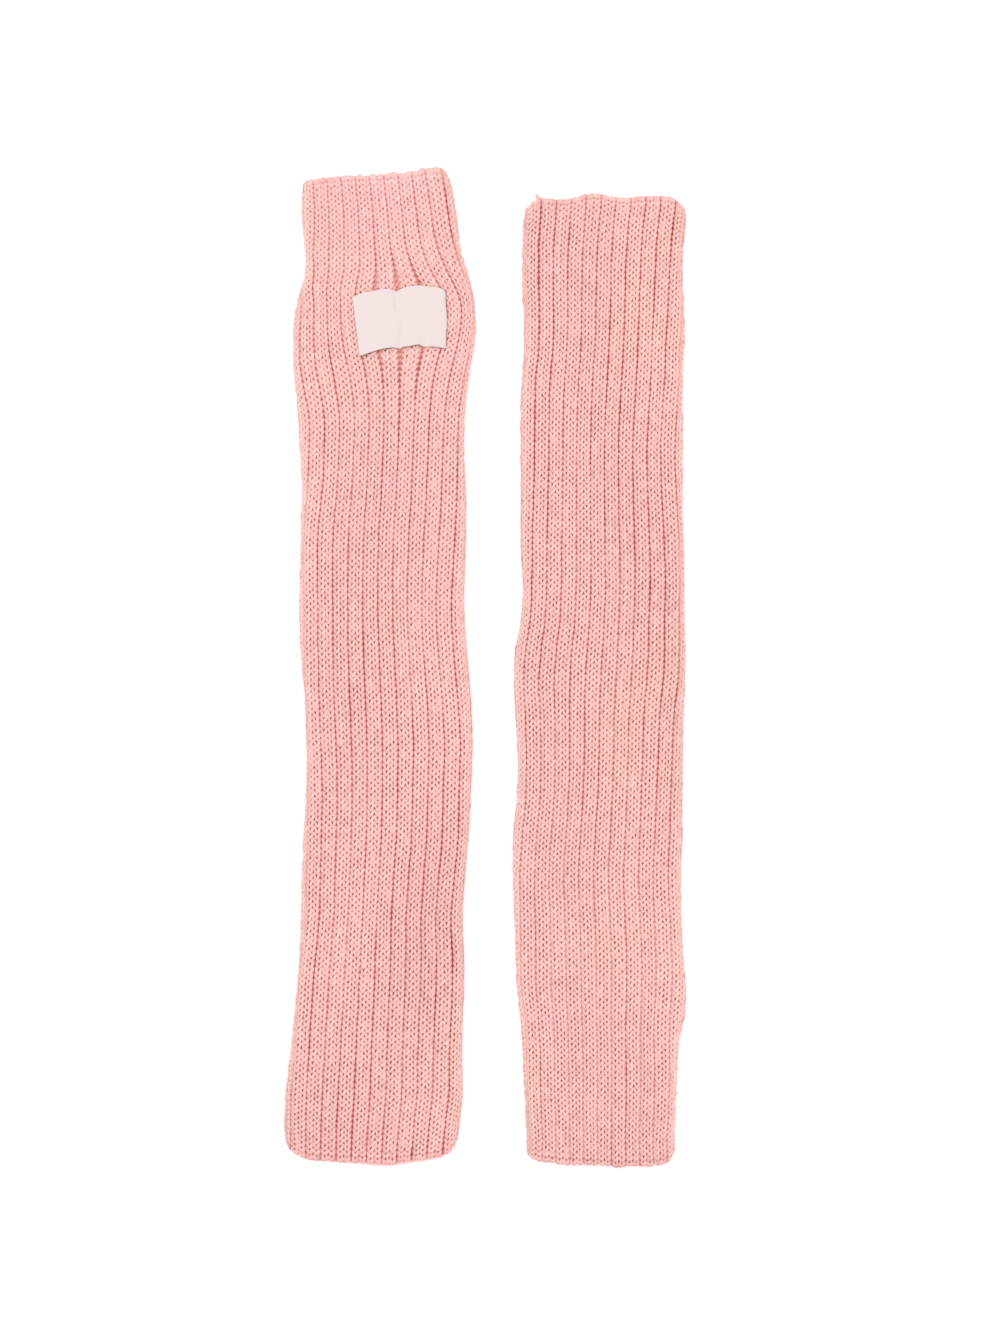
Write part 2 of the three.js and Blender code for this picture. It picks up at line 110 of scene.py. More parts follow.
rightLowEnd = np.array([
    (0, 8.6, 8.2), (0.02, 6.2, 6.2), (0.088, 4.6, 4.9), (0.223, 2.7, 3.3), (0.412, 1.7, 2.0),
    (0.628, 0, 0.7), (0.831, 1.3, 1.3), (0.939, 2.4, 2.2), (0.986, 5.6, 5.2), (1, 10.4, 10.0),
])
rightHighEnd = np.array([
    (0, 8.7, 8.0), (0.041, 5.3, 5.3), (0.098, 3.0, 3.3), (0.186, 4.0, 3.3), (0.287, 3.3, 2.7),
    (0.388, 0.3, 0.7), (0.476, 0, 0.7), (0.539, 2.0, 1.3), (0.64, 2.7, 2.0), (0.741, 1.3, 1.3),
    (0.88, 1.6, 1.6), (0.943, 3.6, 3.3), (0.985, 7.3, 6.7), (1, 11.3, 11.3),
])

legs = {
    "left": {
        "node": "leg_warmer_left", "place": -69.4, "sections": leftSections,
        "lowEnd": leftLowEnd, "highEnd": leftHighEnd, "puffPhase": 0.15, "rows": 171, "seed": 11,
        "topLoops": 1.0,    # how far the loops of its high end stand out
        # how strongly its stitches stand out, in pit depth and painted pit shade, from the low end to
        # the high one
        "relief": np.array([(-333, 1.0), (-200, 1.17), (0, 1.06), (150, 0.95), (240, 0.8), (333, 0.7)]),
        # how deep its grooves are and how dark their painted shade is, from the low end to the high one
        "grooves": np.array([(-333, 1.05), (-200, 1.2), (0, 1.05), (120, 1.05), (230, 0.9), (290, 0.6),
                             (333, 0.5)]),
        # how deep each groove is and how dark its painted shade is, by its rib number
        "firm": np.array([(-6, 0.75), (-4, 1.0), (-2, 0.95), (0, 1.1), (2, 1.0), (4, 1.05), (5, 1.4),
                          (6, 1.0)]),
        # stretches of a groove that are drawn deeper with redder painted shade: rib, middle, half
        # length, how much
        "marks": [(5, 288, 48, 1.2), (0, 278, 30, 0.5), (1, 272, 26, 0.5), (2, 296, 26, 0.45),
                  (3, 300, 24, 0.5), (4, 302, 22, 0.5), (-1, 280, 26, 0.35), (-4, -300, 14, 0.9),
                  (-2, -302, 14, 0.7), (4, -322, 6, 1.3), (3, -326, 4, 1.2), (2, -327, 3, 0.9),
                  (1, -241, 5, 0.9)],
        # stretches where the purl loops of a groove show as a chain of painted shade dots, as above
        "chains": [(0, 190, 22, 0.75), (1, 186, 30, 0.9), (2, 192, 20, 0.8), (0, 263, 10, 0.4),
                   (1, 272, 16, 0.5), (2, 262, 9, 0.7), (-4, 170, 40, 0.35), (5, 150, 60, 0.4),
                   (1, -60, 90, 0.3), (-1, -230, 60, 0.3)],
        # the groove by the right fold lies off the even spacing by this
        "nudge": np.array([(-333, 0.5), (-150, 0.5), (120, 0.2), (215, -1.2), (255, 0.2), (280, 1.4),
                           (333, 1.6)]),
    },
    "right": {
        "node": "leg_warmer_right", "place": 78.3, "sections": rightSections,
        "lowEnd": rightLowEnd, "highEnd": rightHighEnd, "puffPhase": 0.55, "rows": 172, "seed": 23,
        "topLoops": 0.5,
        "relief": np.array([(-333, 1.0), (-230, 1.1), (-80, 1.15), (120, 1.1), (316, 1.0)]),
        "grooves": np.array([(-333, 0.3), (-200, 0.4), (-80, 1.0), (0, 1.1), (120, 1.25), (280, 1.5),
                             (316, 1.1)]),
        "firm": np.array([(-6, 0.8), (-4, 1.2), (-2, 1.0), (0, 1.1), (2, 1.0), (4, 1.0), (6, 1.1)]),
        "marks": [(-4, 297, 12, 0.8), (5, 294, 12, 0.9), (4, 309, 6, 0.8), (-3, -265, 60, 1.6),
                  (3, -270, 70, 2.0), (2, -310, 25, 1.5), (5, -270, 50, 0.8)],
        "chains": [(-4, 250, 50, 0.45), (5, 280, 25, 0.5), (0, 120, 60, 0.25), (2, -40, 70, 0.3)],
        "nudge": np.array([(-333, 0.0), (-200, -0.8), (-60, 0.6), (120, -0.3), (316, 0.0)]),
    },
}


def readRows(rows, column, at):
    # a smooth curve through one column: in each span value + rise t + t(1-t)(bend at the low end
    # times (1-t) + bend at the high end times t), with slopes from the neighbouring rows
    keys, values = rows[:, 0], rows[:, column]
    span, rise = np.diff(keys), np.diff(values)
    slope = np.concatenate(([rise[0] / span[0]], (values[2:] - values[:-2]) / (keys[2:] - keys[:-2]),
                            [rise[-1] / span[-1]]))
    at = np.clip(at, keys[0], keys[-1])
    i = np.clip(np.searchsorted(keys, at, side="right") - 1, 0, len(keys) - 2)
    t = (at - keys[i]) / span[i]
    bend = (slope[i] * span[i] - rise[i]) * (1 - t) + (rise[i] - slope[i + 1] * span[i]) * t
    return values[i] + rise[i] * t + t * (1 - t) * bend


def sectionAt(leg, y):
    # the flattened section at each y: two straight runs joined by two half circles
    left, right, groove, pitch, spread = (readRows(leg["sections"], c, y) for c in range(1, 6))
    straight = (right - left) / 2 - tube["foldRadius"]
    return {"left": left, "right": right, "middle": (left + right) / 2, "straight": straight,
            "round": 4 * straight + fullTurn * tube["foldRadius"],
            "groove": groove, "pitch": pitch, "spread": spread, "nudge": readRows(leg["nudge"], 1, y)}


def upperArc(section, rib):
    # groove place + rib width times rib number + the label's spread, which turns over at the label's
    # rib, + the nudge of one groove
    pull = np.tanh((rib - tube["labelRib"]) / tube["labelSoft"])
    nudge = section["nudge"] * np.maximum(1 - np.abs(rib - tube["nudgedRib"]), 0)
    even = section["groove"] - section["middle"] + section["pitch"] * rib
    return even + section["spread"] * pull + nudge


def ribArc(section, rib):
    # as upperArc up to the last raised rib, then evenly over what is left, then as upperArc one turn on
    first, last = tube["firstRib"], tube["lastRib"]
    start = upperArc(section, last)
    end = upperArc(section, first) + section["round"]
    under = start + (end - start) * (rib - last) / (tube["ribs"] - last + first)
    further = upperArc(section, rib - tube["ribs"]) + section["round"]
    return np.where(rib <= last, upperArc(section, rib),
                    np.where(rib < first + tube["ribs"], under, further))


def outlineAt(section, arc):
    # arc length, counted from the middle of the upper layer, to a point of the section and its outward
    # direction: along the straight run, round the fold by (arc - straight) / radius, and back below
    r, straight, roundAll = tube["foldRadius"], section["straight"], section["round"]
    turned = arc - roundAll * np.round(arc / roundAll)
    side, along = np.where(turned < 0, -1.0, 1.0), np.abs(turned)
    turn = np.clip((along - straight) / r, 0, np.pi)
    past = np.maximum(along - straight - np.pi * r, 0)
    outX, outZ = side * np.sin(turn), np.cos(turn)
    x = section["middle"] + side * (np.minimum(along, straight) - past) + r * outX
    return x, r + r * outZ, outX, outZ


def puffAt(leg, section, x, y):
    # soft swellings of the upper layer: a sine along the leg + the label's lift, nothing at the folds
    across = np.clip((x - section["left"]) / (section["right"] - section["left"]), 0, 1)
    wave = np.sin(fullTurn * (y / tube["puffLength"] + leg["puffPhase"]) + x / tube["puffSlant"])
    held = tube["labelLift"] * section["spread"] / tube["labelPull"]
    return np.sqrt(4 * across * (1 - across)) * (tube["puffHeight"] * (0.5 + 0.5 * wave) + held)


def endShift(leg, y, across, frontShare):
    # how far a point moves in from a slanted or rounded end, fading along the leg
    low, high = leg["sections"][0, 0], leg["sections"][-1, 0]

    def short(rows):
        return frontShare * readRows(rows, 1, across) + (1 - frontShare) * readRows(rows, 2, across)

    def fade(distance):
        return np.maximum(1 - distance / tube["endFade"], 0) ** tube["endFadePower"]

    return fade(y - low) * short(leg["lowEnd"]) - fade(high - y) * short(leg["highEnd"])


def wallPoints(leg, y, arcOf, depth):
    # section outline at y, moved along by the end's slant, then sunk in by depth; in metres
    flat = sectionAt(leg, y)
    x, z, outX, outZ = outlineAt(flat, arcOf(flat))
    across = (x - flat["left"]) / (flat["right"] - flat["left"])
    moved = y + endShift(leg, y, across, (1 + outZ) / 2)
    section = sectionAt(leg, moved)
    x, z, outX, outZ = outlineAt(section, arcOf(section))
    puff = puffAt(leg, section, x, moved) * np.maximum(outZ, 0)
    points = np.stack([x - depth * outX + leg["place"], moved + tube["pairShift"],
                       z - depth * outZ + puff], axis=-1)
    return points * mm


def softNoise(x, y, seed, waves=7):
    # a sum of plane waves with seeded directions, phases and sizes, about -1 to 1
    rng = np.random.default_rng(seed)
    total = 0
    for angle, phase, size in zip(rng.uniform(0, np.pi, waves), rng.uniform(0, fullTurn, waves),
                                  rng.uniform(0.6, 1.7, waves)):
        total = total + np.sin(size * (x * np.cos(angle) + y * np.sin(angle)) + phase)
    return total / np.sqrt(waves * 2)


def gridFaces(rows, columns, wrap=False):
    # quads between neighbouring rows and columns of a grid, the last column joined to the first if
    # wrapped
    r, c = np.meshgrid(np.arange(rows - 1), np.arange(columns if wrap else columns - 1), indexing="ij")
    d = (c + 1) % columns
    return np.stack([r * columns + c, r * columns + d, (r + 1) * columns + d, (r + 1) * columns + c],
                    axis=-1).reshape(-1, 4)


def makePiece(name, points, faces, material, uv, values):
    # points and quads or triangles straight into a mesh, with a UV and named values for each point
    points, faces = np.asarray(points, float).reshape(-1, 3), np.asarray(faces, np.int32)
    mesh = bpy.data.meshes.new(name)
    mesh.vertices.add(len(points))
    mesh.vertices.foreach_set("co", points.ravel())
    mesh.loops.add(faces.size)
    mesh.loops.foreach_set("vertex_index", faces.ravel())
    mesh.polygons.add(len(faces))
    mesh.polygons.foreach_set("loop_start", np.arange(0, faces.size, faces.shape[1], dtype=np.int32))
    mesh.polygons.foreach_set("use_smooth", np.full(len(faces), True))
    layer = mesh.uv_layers.new(name="yarnWay")
    layer.uv.foreach_set("vector", np.asarray(uv, float).reshape(-1, 2)[faces.ravel()].ravel())
    for key, value in values.items():
        attribute = mesh.attributes.new(key, "FLOAT", "POINT")
        attribute.data.foreach_set("value", np.asarray(value, float).ravel())
    mesh.update(calc_edges=True)
    mesh.validate()
    piece = bpy.data.objects.new(name, mesh)
    bpy.context.collection.objects.link(piece)
    piece.data.materials.append(material)
    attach(piece, "root")
    return piece


# Materials

class Value:
    # one socket, with the operators that shader maths needs
    def __init__(self, tree, socket):
        self.tree, self.socket = tree, socket

    def math(self, operation, *others):
        return addNode(self.tree, "ShaderNodeMath", {"operation": operation},
                       dict(enumerate((self, *others))))

    def __add__(self, other): return self.math("ADD", other)
    def __radd__(self, other): return self.math("ADD", other)
    def __mul__(self, other): return self.math("MULTIPLY", other)
    def __rmul__(self, other): return self.math("MULTIPLY", other)
    def __sub__(self, other): return self.math("SUBTRACT", other)
    def __rsub__(self, other): return (self * -1).math("ADD", other)
    def sin(self): return self.math("SINE")
    def clamp(self): return addNode(self.tree, "ShaderNodeClamp", {}, {0: self})


def addNode(tree, kind, settings, inputs, output=0):
    # a node of one kind: settings first, then numbers or links into its sockets; gives one output
    node = tree.nodes.new(kind)
    for key, value in settings.items():
        setattr(node, key, value)
    for key, value in inputs.items():
        if isinstance(value, Value):
            tree.links.new(value.socket, node.inputs[key])
        else:
            node.inputs[key].default_value = value
    return Value(tree, node.outputs[output])


def newMaterial(name, finish):
    # a Principled material with its constant sockets set by name
    material = bpy.data.materials.new(name)
    material.use_nodes = True
    shader = material.node_tree.nodes["Principled BSDF"]
    for socket, value in finish.items():
        shader.inputs[socket].default_value = value
    return material, material.node_tree, shader


def mixColor(tree, factor, a, b, mode="MIX"):
    def asColor(value):
        return value if isinstance(value, Value) else (*value, 1)
    return addNode(tree, "ShaderNodeMix", {"data_type": "RGBA", "blend_type": mode},
                   {0: factor, 6: asColor(a), 7: asColor(b)}, 2)


def attribute(tree, name):
    return addNode(tree, "ShaderNodeAttribute", {"attribute_name": name}, {}, 2)


def yarnWay(tree):
    # the two values of the piece's own UV
    way = addNode(tree, "ShaderNodeUVMap", {"uv_map": "yarnWay"}, {})
    return [addNode(tree, "ShaderNodeSeparateXYZ", {}, {0: way}, i) for i in (0, 1)]


def objectPlace(tree):
    return addNode(tree, "ShaderNodeTexCoord", {}, {}, 3)


def noise(tree, place, scale, detail):
    return addNode(tree, "ShaderNodeTexNoise", {}, {"Vector": place, "Scale": scale, "Detail": detail})


def bump(tree, height, strength, distance, **more):
    return addNode(tree, "ShaderNodeBump", {},
                   {"Strength": strength, "Distance": distance, "Height": height, **more})


def feed(tree, value, socket):
    tree.links.new(value.socket, socket)


yarn = {
    "bright": (0.805, 0.462, 0.441),   # open faces of the stitches
    "peach": (0.805, 0.486, 0.430),    # slow drift of the dye
    "pitShadeColor": (0.36, 0.090, 0.075),      # painted shade down in the small pits
    "grooveShadeColor": (0.42, 0.060, 0.066),      # painted shade along the grooves between ribs
    "foldLightColor": (0.83, 0.585, 0.53),       # painted light where a fold turns over
    "edge": (0.80, 0.44, 0.34),        # and painted shade at its outermost line
    "foldLightShare": 0.42, "foldEdgeShadeShare": 0.28,   # how much those two show
    "peachFrom": 0.42, "foldShadePeach": 0.35,   # where the dye's drift starts, and the share of painted peach shade at the folds
    "drift": (14.0, 2.0), "speckle": (760.0, 3.0), "fibre": (2600.0, 4.0),   # noises: scale, detail
    # brightness by each of these: its gain and what it starts from; the side one is painted light
    "toneLight": (0.16, 0.932), "speckleLight": (0.46, 0.77), "sideLight": (0.04, 1),
    "plies": 3.0, "twist": 2.3,        # ply ridges to one stitch leg, across and along it
    "bumpStrength": 0.8, "plyBump": 0.00016, "fibreBump": 0.00012,   # heights in metres
    "finish": {"Roughness": 0.93, "Sheen Weight": 0.05, "Sheen Roughness": 0.45,
               "Sheen Tint": (1.0, 0.86, 0.83, 1), "Specular IOR Level": 0.08},
}


def yarnMaterial():
    # colour: bright to the groove shade colour by the groove value and to the pit shade colour by the
    # hollow shade value, both painted shade, with painted light and shade at the folds by the side
    # value, and drift and speckle on Object coordinates; bump: plies that run along each stitch leg on
    # the piece's own UV, and fibres
    material, tree, shader = newMaterial("pinkYarn", yarn["finish"])
    place = objectPlace(tree)
    alongLeg, acrossLeg = yarnWay(tree)
    hollowShade, groove, tone, side = (attribute(tree, name) for name in ("hollowShade", "groove", "tone", "side"))
    drift, speckle, fibre = (noise(tree, place, *yarn[name]) for name in ("drift", "speckle", "fibre"))
    # peach by the dye's slow drift, plus painted warm shade where the surface faces sideways
    peachy = (drift - yarn["peachFrom"]) * 2.0 + side * yarn["foldShadePeach"]
    base = mixColor(tree, peachy.clamp(), yarn["bright"], yarn["peach"])
    # painted light: the pale band where the fold turns starts a fifth of the way out and fades past
    # three quarters, where the edge's painted shade follows
    foldLightBand = ((side * 2.4 - 0.5).clamp() - (side * 4 - 3).clamp()) * yarn["foldLightShare"]
    base = mixColor(tree, foldLightBand.clamp(), base, yarn["foldLightColor"])
    base = mixColor(tree, (side * 5 - 4).clamp() * yarn["foldEdgeShadeShare"], base, yarn["edge"])
    rosy = mixColor(tree, groove.clamp(), base, yarn["grooveShadeColor"])
    dark = mixColor(tree, hollowShade.clamp(), rosy, yarn["pitShadeColor"])
    # brightness from tone and speckle, times painted light where the surface faces sideways
    lights = [value * yarn[name][0] + yarn[name][1]
              for value, name in ((tone, "toneLight"), (speckle, "speckleLight"), (side, "sideLight"))]
    light = lights[0] * lights[1] * lights[2]
    shade = addNode(tree, "ShaderNodeCombineColor", {}, {0: light, 1: light, 2: light})
    feed(tree, mixColor(tree, 1.0, dark, shade, "MULTIPLY"), shader.inputs["Base Color"])
    plies = ((acrossLeg * yarn["plies"] + alongLeg * yarn["twist"]) * fullTurn).sin() * 0.5 + 0.5
    twisted = bump(tree, plies, yarn["bumpStrength"], yarn["plyBump"])
    fibred = bump(tree, fibre, yarn["bumpStrength"], yarn["fibreBump"], Normal=twisted)
    feed(tree, fibred, shader.inputs["Normal"])
    return material


pinkYarn = yarnMaterial()
print("yarn mixed")

# Knit: the V stitches of the ribs, on a grid whose lines climb with the legs of the V

knit = {
    "stitchSteps": 4,        # grid lines in one knit row
    "rolled": (0, 0.05, 0.13, 0.25),   # rows of the first ones, where the end rolls over
    "slope": 0.74,           # how far a leg climbs across its half column, in rows
    "straightEnd": 2.5,      # rows in which that fades towards an end
    "uneven": 0.16,          # rows by which a knit row wanders up and down
    "bodyShare": 0.925,      # part of a rib's width that its two knit columns fill
    "bodyMore": 0.04,        # and this much more where its grooves are weak
    "bodyMost": 10.0,        # they stretch no wider than this
    "openFrom": 0.6, "openOver": 3.0,  # a rib wider than that by the first opens its grooves
    "dome": 0.65,            # a rib falls off by this towards its grooves
    "valley": 0.45,          # dip between one leg and the next
    "seamDip": 0.25,         # dip along the lines where legs meet
    "pit": 1.05,             # extra depth of the small holes there
    "sidePit": 0.25,         # pits on a rib's own sides are this much weaker
    "pitVary": 0.32, "pitStreak": 0.14,   # they differ from pit to pit and along a column by these
    "legVary": 0.10,         # legs differ in height by this
    "swell": 0.42,           # a rib is wider by this at its legs and narrower between them
    "wander": (0.035, 0.018),          # slow and quick sideways wander, in ribs
    "wallDepth": 0.9,        # half way down a groove
    "floorDepth": 1.3,       # at its bottom
    "openRise": 0.3,         # a pulled-open groove shows its purl floor this much higher
    "purl": 0.55,            # height of the purl bumps
    "broad": 0.24, "beaded": 0.25,     # a groove's firmness varies slowly and quickly by these
    "foldFrom": 1.4, "foldOver": 2.4,  # the folds' look starts this far before the turn, over this way
    "foldVary": 0.16,        # legs differ in height by this more at the folds
    "edgeRoll": 1.7,         # the first rows roll over by this
    "edgeLoop": 0.3,         # the end loops stand out by this at each knit column
    "edgeNotch": 0.75,       # and the end draws in by this at each groove
    "ragged": (0.4, 0.5),    # loops and whole ribs end unevenly by these
    "underRagged": 0.3,      # and by this share of it below
    "edgeReach": 1.3,        # rows over which an end's unevenness fades
    "ground": 2.6,           # depth of the ground under the stitches
    # then they turn in over the end: distance in from it and depth, from the inside out
    "turnIn": [(9.0, 3.75), (1.3, 3.75), (0.4, 3.55), (0.05, 3.1)],
    "pitShade": 1.22, "valleyShade": 0.10, "grooveShade": 0.92, "purlShade": 0.60,
    "endShade": 0.30,        # rosy painted shade in the end loops, most where they meet, here and there, by this
    "blush": 0.15,           # the low end's last rows are rosier by this
    "topCalm": 0.6, "calmRows": 2.2,   # the painted shade of grooves and pits in the high end's last rows is fainter by this
    "turnedInLight": 1.2,        # painted light: brightness value of the turned-in rows
    "fineRibs": (-6, 1, 7), "fineSteps": 12,    # upper layer: its two pieces' ribs, and steps to a rib
    "wideRibs": (7, 16), "wideSteps": 6,        # lower layer
}


def ribColumns(first, last, bodySteps):
    # for each column: rib number, part (0 left groove, 1 body, 2 right groove) and place in that part
    columns = []
    for rib in range(first, last):
        columns += [(rib, 0, 0.0), (rib, 0, 0.5)]
        columns += [(rib, 1, i / bodySteps) for i in range(bodySteps + 1)]
        columns += [(rib, 2, 0.5)]
    columns.append((last, 0, 0.0))
    return np.array(columns)


def columnArc(section, columns, wander, swell, closed):
    # a rib's body sits midway between its two groove lines and its width is a share of theirs, up to a
    # limit, so a stretched rib opens its grooves instead; swell widens it at each leg, closed everywhere
    rib, part, place = columns.T
    low, high = ribArc(section, rib + wander), ribArc(section, rib + 1 + wander)
    width = np.minimum((knit["bodyShare"] + closed) * (high - low), knit["bodyMost"]) + swell
    start, end = (low + high - width) / 2, (low + high + width) / 2
    return np.where(part == 0, low + place * (start - low),
                    np.where(part == 1, start + place * width, end + place * (high - end)))


def knitRows(rows):
    # row number of each grid line, then how far in from the end and how deep the turned-in lines lie
    rolled, steps = np.array(knit["rolled"]), knit["stitchSteps"]
    body = np.concatenate([rolled, np.arange(2, rows * steps - 1) / steps, rows - rolled[::-1]])
    distance, depth = np.array(knit["turnIn"]).T
    atEnd = np.zeros(len(distance))
    lines = (np.concatenate([atEnd, body, atEnd + rows]),
             np.concatenate([distance, 0 * body, -distance[::-1]]),
             np.concatenate([depth, 0 * body, depth[::-1]]))
    return [line[:, None] for line in lines]


def grooveFirmness(leg, rib, grooveRib, rowAt, y):
    # how firmly each groove is drawn in: its own value + a bell exp(-(distance/reach)^2) for each mark,
    # times slow and quick noise along it; the quick one is given too
    firm = readRows(leg["firm"], 1, grooveRib)
    for markRib, markY, reach, strength in leg["marks"]:
        firm = firm + (grooveRib == markRib) * strength * np.exp(-((y - markY) / reach) ** 2)
    broad = softNoise(rowAt / 12, rib * 2.1, leg["seed"] + 3)
    beaded = softNoise(rowAt / 1.6, rib * 3.3, leg["seed"] + 4)
    uneven = 1 + knit["broad"] * broad + knit["beaded"] * beaded
    return firm * uneven * readRows(leg["grooves"], 1, y), beaded


def knitPiece(name, leg, firstRib, lastRib, bodySteps):
    # grid lines at row + slope (legMeet - 1/2), where legMeet is 0 at a knit column's middle line and 1
    # at its sides; depth under the crests = dome + valleys between legs + pits where legs meet, or the
    # groove's own depth
    rows, seed, ribs = leg["rows"], leg["seed"], tube["ribs"]
    columns = ribColumns(firstRib, lastRib, bodySteps)
    rib, part, place = columns.T
    onBody, middle = part == 1, place == 0
    across = np.where(onBody, 2 * place - 1, 1.0)
    legMeet = np.abs(2 * np.abs(across) - 1)
    grooveRib = rib + (part == 2) + onBody * (place > 0.5)
    r, inward, inside = knitRows(rows)
    fromEnd = np.minimum(r, rows - r)
    ends = np.clip(fromEnd / knit["straightEnd"], 0, 1)
    low, high = leg["sections"][0, 0], leg["sections"][-1, 0]
    rowAt = np.clip(r + knit["slope"] * (legMeet - 0.5) * ends, 0, rows)
    uneven = knit["uneven"] * softNoise(rowAt / 5, rib / 1.5, seed)
    y = low + (high - low) * (rowAt + uneven * ends) / rows

    # each leg and each pit differs a little from the next
    rng = np.random.default_rng(seed + 5)
    around = rib.astype(int) % ribs
    legNumber = around * 4 + np.clip(place * 4, 0, 3).astype(int)
    pitNumber = around * 5 + np.rint(place * 4).astype(int)
    legRow, pitRow = np.floor(r).astype(int).clip(0, rows - 1), np.rint(r).astype(int).clip(0, rows)
    vary = rng.normal(size=(rows, ribs * 4)).clip(-2, 2)[legRow, legNumber]
    varyPit = rng.normal(size=(rows + 1, ribs * 5)).clip(-2, 2)[pitRow, pitNumber]
    streak = softNoise(rowAt / 22, pitNumber * 1.7, seed + 6)
    between = 1 - np.sin(np.pi * (r % 1)) ** 0.7
    meeting = np.where(onBody, np.abs(2 * legMeet - 1) ** 2.4, 1.0)
    weak = np.where(np.abs(across) > 0.99, knit["sidePit"], 1.0)
    pitSize = np.maximum(1 + knit["pitVary"] * varyPit + knit["pitStreak"] * streak, 0.15)
    pit = readRows(leg["relief"], 1, y) * weak * between * meeting * pitSize
    firm, beaded = grooveFirmness(leg, rib, grooveRib, rowAt, y)
    dome = knit["dome"] * (0.4 + 0.6 * np.clip(firm, 0, 1)) * np.abs(across) ** 5
    bodyDepth = (knit["valley"] * between * (1 + 0.2 * vary) + knit["seamDip"] * meeting
                 + knit["pit"] * pit + dome + knit["legVary"] * vary * (1 - meeting))

    # where the columns lie: opened is 1 at a pulled-open groove, folded is 1 round the side folds
    section = sectionAt(leg, y)
    slow, quick = knit["wander"]
    wander = (slow * softNoise(rowAt / 9, rib * 0.8, seed + 1)
              + quick * softNoise(rowAt / 1.7, rib * 2.3, seed + 7))
    swell = knit["swell"] * (1 - 2 * between + 0.5 * vary)
    closed = knit["bodyMore"] * (1 - np.clip(firm, 0, 1.2))
    width = ribArc(section, rib + 1) - ribArc(section, rib)
    opened = np.clip((width - knit["bodyMost"] - knit["openFrom"]) / knit["openOver"], 0, 1)
    arc = columnArc(section, columns, wander, swell, closed)
    turned = np.abs(arc - section["round"] * np.round(arc / section["round"]))
    straight = section["straight"]
    pastFold = np.minimum(turned - straight, straight + np.pi * tube["foldRadius"] - turned)
    folded = np.clip((pastFold + knit["foldFrom"]) / knit["foldOver"], 0, 1)
    # side: how far each point faces sideways, and at least part way round the folds; the material paints
    # light and shade at the folds by it
    side = np.maximum(np.abs(outlineAt(section, arc)[2]), 0.45 * folded)

    # the groove: its wall, its floor and the purl bumps on it, flat round the folds
    purlBump = 0.5 + 0.5 * np.cos(fullTurn * (rowAt + 0.5 * (place > 0)))
    grooveDepth = (np.where(middle, knit["floorDepth"] - knit["openRise"] * opened, knit["wallDepth"])
                   - knit["purl"] * purlBump * (0.3 + 0.7 * opened)) * (1 - 0.9 * folded)
    grooveDepth = grooveDepth * np.maximum(np.clip(0.3 + 0.7 * firm, 0.25, 1.1), opened)
    depth = np.where(onBody, bodyDepth, grooveDepth) + knit["foldVary"] * folded * vary

    # end loops, then the roll of the end rows down to the ground
    notch = knit["edgeNotch"] * (0.5 + rng.random(ribs))[grooveRib.astype(int) % ribs]
    loops = np.where(onBody, knit["edgeLoop"] * (1 - 2 * legMeet ** 2), -notch * (1 - 0.5 * (place > 0)))
    upper = (rib >= tube["firstRib"]) & (rib < tube["lastRib"])
    ofLoop, ofRib = knit["ragged"]
    ragged = (loops + ofLoop * rng.normal(size=ribs * 4).clip(-2, 2)[legNumber]
              + ofRib * rng.normal(size=ribs).clip(-1.6, 1.6)[around])
    atHigh, atLow = (np.exp(-distance / knit["edgeReach"]) for distance in (rows - r, r))
    y = y + ragged * np.where(upper, 1.0, knit["underRagged"]) * (leg["topLoops"] * atHigh - atLow)
    rollShare = np.minimum(fromEnd * (high - low) / rows / knit["edgeRoll"], 1)
    rolling = 1 - np.sqrt(np.clip(1 - (1 - rollShare) ** 2, 0, 1))
    depth = np.where(inside > 0, inside, depth + (knit["ground"] - depth) * rolling)
    points = wallPoints(leg, y + inward, lambda s: columnArc(s, columns, wander, swell, closed), depth)
    points[..., 2] = np.maximum(points[..., 2], 0)

    # groove value, painted shade: darkest at the floor, between the purl bumps, a little on the rib's
    # own sides
    nearGroove = np.where(onBody, 0.22 * np.clip(np.abs(across) * 6 - 5, 0, 1),
                          np.where(middle, 1.25, 0.55))
    shaded = (nearGroove * np.where(middle, 0.75 + 0.45 * (1 - purlBump), 1)
              + 0.15 * between * (nearGroove > 0))
    groove = knit["grooveShade"] * (0.22 + 0.82 * firm) * (1 - opened) * (1 - 0.85 * folded) * shaded
    groove = groove + opened * (0.20 + knit["purlShade"] * (1 - purlBump)) * (nearGroove > 0.5)
    # hollow shade value, painted shade: the pits and valleys, and the dark dots of a chain
    pitted = (knit["pitShade"] * pit + knit["valleyShade"] * between) * (1 - 0.45 * folded)
    hollowShade = np.where(onBody, pitted,
                      0.4 * opened * np.where(middle, 1.0, 0.35) * (1 - purlBump) ** 1.5)
    dots = (0.5 - 0.5 * np.cos(fullTurn * rowAt)) ** 1.5 * (nearGroove > 0.15)
    chained = 0 * y
    for chainRib, chainY, reach, strength in leg["chains"]:
        chained = chained + (grooveRib == chainRib) * strength * np.exp(-((y - chainY) / reach) ** 4)
    hollowShade = hollowShade + chained * dots
    # towards the high end the painted shade of grooves and pits grows fainter
    calm = 1 - knit["topCalm"] * np.exp(-((rows - r) / knit["calmRows"]) ** 2)
    groove, hollowShade = groove * calm, hollowShade * calm
